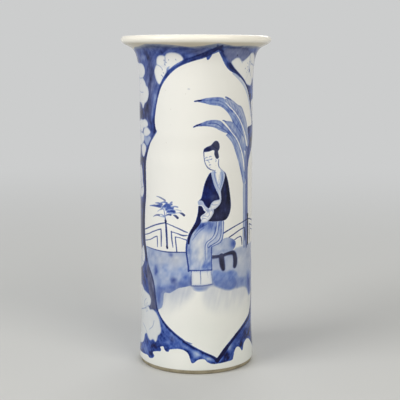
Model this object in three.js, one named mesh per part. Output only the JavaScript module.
import * as THREE from 'three';

// Porcelain sleeve vase: a tall straight cylinder on a turned foot, with a short everted mouth.
// Millimetres, +Z up, origin at the centre of the plane that the foot ring stands on.
//
// The potter throws three short sections, pares their meeting ends flat and lutes them with slip
// before the one firing: foot_section (floor, foot ring and lower wall), middle_section (an open
// ring of wall) and mouth_section (upper wall and everted lip). Each is a solid of revolution.
// Every luted seam shows as a shallow waist outside and as a low ridge of slip inside.

// Whole vase
const height = 265;
const lowerSeamHeight = 92;
const upperSeamHeight = 177;

// Wall
const wallRadius = 45.6;
const wallThickness = 4.6;

// Luted seams
const seamWaistDepth = 0.6;
const seamRidgeDepth = 0.9;
const seamSpread = 8;

// Mouth: the wall bends out over flareHeight and ends in a rolled lip
const rimOverhang = 14.4;
const lipRadius = 2.3;
const lipSlope = THREE.MathUtils.degToRad(42.5);
const flareHeight = 40;
const flareRise = 36.4;
const flareReach = 8.5;

// Foot: an unglazed band, then a rolled edge of glaze that swells past the wall
const bareBandHeight = 3.4;
const bareBandTaper = 0.9;
const glazeEdgeRoll = 0.2;
const shoulderSwell = 1.5;
const shoulderHeight = 5.4;
const shoulderRunOut = 38;
const shoulderPullShare = 0.3;

// Foot ring and floor
const footRingWidth = 6.4;
const footRingTaper = 1.4;
const footEdgeRounding = 0.8;
const recessDepth = 6;
const recessRounding = 1.6;
const floorThickness = 7;
const floorRounding = 10;

// Fineness of the facets
const facetsAround = 64;
const curveSteps = 6;
const flareSteps = 9;
const lipSteps = 6;
const seamSteps = 3;

const innerRadius = wallRadius - wallThickness;
const rimRadius = wallRadius + rimOverhang;
const shoulderRadius = wallRadius + shoulderSwell;
const glazeEdgeRadius = shoulderRadius - glazeEdgeRoll;
const footRadius = glazeEdgeRadius - bareBandTaper;
const footRingInner = footRadius - footRingWidth;
const recessRadius = footRingInner - footRingTaper;
const floorHeight = recessDepth + floorThickness;
const wallStart = shoulderHeight + shoulderRunOut;
const flareStart = height - flareHeight;
const glaze = { color: 0xe9e7df, roughness: 0.12, metalness: 0 };

// A smooth hump: 1 on a seam, 0 at seamSpread above and below it.
function seamHump(level) {
  const distances = [lowerSeamHeight, upperSeamHeight].map((seam) => Math.abs(level - seam));
  const nearest = Math.min(...distances) / seamSpread;
  return nearest >= 1 ? 0 : (1 + Math.cos(Math.PI * nearest)) / 2;
}

function outerWallPoint(level) {
  return new THREE.Vector2(wallRadius - seamWaistDepth * seamHump(level), level);
}

function innerWallPoint(level) {
  return new THREE.Vector2(innerRadius - seamRidgeDepth * seamHump(level), level);
}

// Levels that follow a wall from a seam to a plain end, close together only beside the seam.
function levelsFromSeam(seam, end) {
  const direction = Math.sign(end - seam);
  const levels = Array.from({ length: seamSteps + 1 }, (_, i) => seam + (direction * seamSpread * i) / seamSteps);
  return [...levels, end];
}

// Turns a closed outline of (radius, height) points about Z. The outline goes up the outside.
function turned(outline) {
  const points = outline.filter((point, i) => i === 0 || !point.equals(outline[i - 1]));
  const geometry = new THREE.LatheGeometry(points, facetsAround);
  geometry.rotateX(Math.PI / 2);
  return geometry;
}

function section(name, outline) {
  const mesh = new THREE.Mesh(turned(outline), new THREE.MeshStandardMaterial(glaze));
  mesh.name = name;
  return mesh;
}

// From the middle of the glazed underside out round the foot ring and up to the plain wall.
function footOutline() {
  const path = new THREE.Path();
  path.moveTo(0, recessDepth);
  path.lineTo(recessRadius - recessRounding, recessDepth);
  path.quadraticCurveTo(recessRadius, recessDepth, recessRadius, recessDepth - recessRounding);
  path.lineTo(footRingInner, footEdgeRounding);
  path.quadraticCurveTo(footRingInner, 0, footRingInner + footEdgeRounding, 0);
  path.lineTo(footRadius - footEdgeRounding, 0);
  path.quadraticCurveTo(footRadius, 0, footRadius, footEdgeRounding);
  path.lineTo(glazeEdgeRadius, bareBandHeight);
  path.quadraticCurveTo(shoulderRadius, bareBandHeight, shoulderRadius, shoulderHeight);
  path.bezierCurveTo(
    shoulderRadius, shoulderHeight + shoulderRunOut * shoulderPullShare,
    wallRadius, wallStart - shoulderRunOut * (1 - shoulderPullShare),
    wallRadius, wallStart,
  );
  return path.getPoints(curveSteps);
}

// From the inner wall down round the inside corner to the middle of the floor.
function floorOutline() {
  const path = new THREE.Path();
  path.moveTo(innerRadius, floorHeight + floorRounding);
  path.quadraticCurveTo(innerRadius, floorHeight, innerRadius - floorRounding, floorHeight);
  path.lineTo(0, floorHeight);
  return path.getPoints(curveSteps);
}

function footSection() {
  const outside = levelsFromSeam(lowerSeamHeight, wallStart).reverse().map(outerWallPoint);
  const inside = levelsFromSeam(lowerSeamHeight, floorHeight + floorRounding).map(innerWallPoint);
  return section('foot_section', [...footOutline(), ...outside, ...inside, ...floorOutline()]);
}

function middleSection() {
  const middle = (lowerSeamHeight + upperSeamHeight) / 2;
  const levels = [
    ...levelsFromSeam(lowerSeamHeight, middle),
    ...levelsFromSeam(upperSeamHeight, middle).reverse(),
  ];
  const outside = levels.map(outerWallPoint);
  const inside = levels.map(innerWallPoint).reverse();
  return section('middle_section', [...outside, ...inside, outside[0].clone()]);
}

// The flare and the lip. The lip is a half round whose two ends run on into the outer and the
// inner face of the flare, which keep the wall's thickness between them round the bend.
function mouthOutline() {
  const along = new THREE.Vector2(Math.cos(lipSlope), Math.sin(lipSlope));
  const across = new THREE.Vector2(Math.sin(lipSlope), -Math.cos(lipSlope));
  const lipCentre = new THREE.Vector2(rimRadius - lipRadius, height - lipRadius);
  const underLip = lipCentre.clone().addScaledVector(across, lipRadius);
  const overLip = lipCentre.clone().addScaledVector(across, -lipRadius);
  const innerExtra = wallThickness * Math.tan((Math.PI / 2 - lipSlope) / 2);
  const outerPull = underLip.clone().addScaledVector(along, -flareReach);
  const innerPull = overLip.clone().addScaledVector(along, -flareReach - innerExtra);
  const lipStart = lipSlope - Math.PI / 2;

  const outer = new THREE.Path();
  outer.moveTo(wallRadius, flareStart);
  outer.bezierCurveTo(
    wallRadius, flareStart + flareRise, outerPull.x, outerPull.y, underLip.x, underLip.y,
  );
  const lip = new THREE.Path();
  lip.absarc(lipCentre.x, lipCentre.y, lipRadius, lipStart, lipStart + Math.PI, false);
  const inner = new THREE.Path();
  inner.moveTo(overLip.x, overLip.y);
  inner.bezierCurveTo(
    innerPull.x, innerPull.y, innerRadius, flareStart + flareRise + innerExtra, innerRadius, flareStart,
  );
  return [
    ...outer.getPoints(flareSteps),
    ...lip.getPoints(lipSteps).slice(1, -1),
    ...inner.getPoints(flareSteps),
  ];
}

function mouthSection() {
  const levels = levelsFromSeam(upperSeamHeight, flareStart);
  const outside = levels.map(outerWallPoint);
  const inside = levels.map(innerWallPoint).reverse();
  return section('mouth_section', [...outside, ...mouthOutline(), ...inside, outside[0].clone()]);
}

const vase = new THREE.Group();
vase.name = 'sleeve_vase';
vase.add(footSection(), middleSection(), mouthSection());

export default vase;
